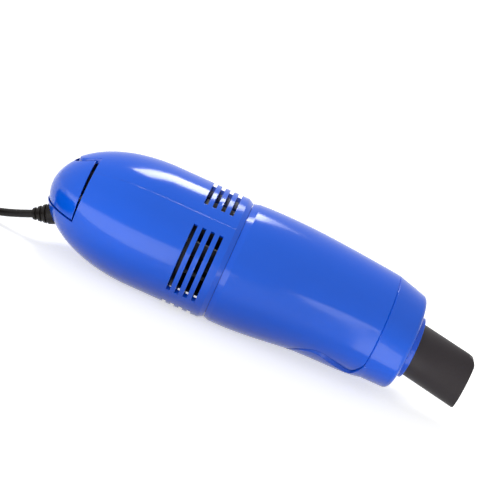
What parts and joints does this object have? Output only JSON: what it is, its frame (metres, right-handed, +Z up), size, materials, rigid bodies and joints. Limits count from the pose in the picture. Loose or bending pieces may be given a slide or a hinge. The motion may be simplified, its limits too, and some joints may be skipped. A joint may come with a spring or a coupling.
{
  "type": "keyboard vacuum cleaner",
  "caption": "Hand-held desk and keyboard vacuum cleaner on a USB lead: glossy bullet housing with a fan, pull-off dust cup, flattened rubber nozzle and tail push button.",
  "frame": {"origin": "on the floor under the middle of the body's length, nozzle included and lead left out", "axes": "+X along the body towards the nozzle, +Z up, +Y to the left when looking along +X"},
  "size_m": [0.2651, 0.0615, 0.0445],
  "materials": {
    "blue_gloss": "polished moulded ABS",
    "nozzle_rubber": "satin moulded rubber",
    "cord_sheath": "satin soft PVC",
    "seal_rubber": "matt",
    "tie_plastic": "moulded nylon",
    "inner_plastic": "moulded, black",
    "switch_plastic": "moulded",
    "filter_fabric": "fine non-woven cloth",
    "steel": "drawn, plated",
    "plug_steel": "pressed, nickel plated",
    "iron_core": "dull",
    "brass": "bare",
    "wire_red": "wire insulation",
    "wire_black": "wire insulation"
  },
  "bodies": {
    "housing": {"rear_shell_lower": "blue_gloss", "rear_shell_upper": "blue_gloss", "cord_lead": "cord_sheath", "cord_coil": "cord_sheath", "cord_tail": "cord_sheath", "strain_relief": "cord_sheath", "plug_body": "cord_sheath", "seal_ring": "seal_rubber", "cable_tie": "tie_plastic", "motor_mount": "inner_plastic", "fan_inlet_plate": "inner_plastic", "filter_frame": "inner_plastic", "switch_plate": "inner_plastic", "switch_body": "switch_plastic", "motor_end_bell": "switch_plastic", "plug_tongue": "switch_plastic", "filter_cloth": "filter_fabric", "motor_can": "steel", "button_pin": "steel", "shell_screws": "steel", "motor_screws": "steel", "plug_shell": "plug_steel", "motor_magnets": "iron_core", "motor_bushes": "brass", "motor_terminals": "brass", "plug_contacts": "brass", "wire_supply": "wire_red", "wire_switch": "wire_red", "wire_return": "wire_black"},
    "fan_rotor": {"motor_shaft": "steel", "motor_armature": "iron_core", "motor_commutator": "brass", "impeller": "inner_plastic"},
    "tail_button": {"tail_button": "blue_gloss"},
    "switch_plunger": {"switch_plunger": "switch_plastic"},
    "dust_cup": {"dust_cup": "blue_gloss", "nose_cap": "blue_gloss", "duct_insert": "inner_plastic"},
    "nozzle_ring": {"nozzle_ring": "blue_gloss"},
    "nozzle": {"rubber_nozzle": "nozzle_rubber"}
  },
  "joints": [
    {"name": "fan_spin", "type": "hinge", "parent": "housing", "child": "fan_rotor", "pos_m": [-0.0128, 0, 0.0221], "axis": [1, 0, 0], "continuous": true},
    {"name": "button_tilt", "type": "hinge", "parent": "housing", "child": "tail_button", "pos_m": [-0.0688, 0, 0.0195], "axis": [0, 1, 0], "range_deg": [0, 3.2], "stiffness_Nm_per_rad": 0.4, "springref_deg": -2.29},
    {"name": "switch_travel", "type": "slide", "parent": "housing", "child": "switch_plunger", "axis": [1, 0, 0], "range_m": [0, 0.000535]},
    {"name": "cup_pull", "type": "slide", "parent": "housing", "child": "dust_cup", "axis": [1, 0, 0], "range_m": [0, 0.04]},
    {"name": "nozzle_turn", "type": "hinge", "parent": "dust_cup", "child": "nozzle_ring", "pos_m": [0.0555, 0, 0.0205], "axis": [1, 0, 0], "continuous": true},
    {"name": "nozzle_pull", "type": "slide", "parent": "nozzle_ring", "child": "nozzle", "axis": [1, 0, 0], "range_m": [0, 0.012]}
  ],
  "couplings": [
    {"joint": "button_tilt", "follows": "switch_travel", "rad_per_m": 104.17}
  ]
}
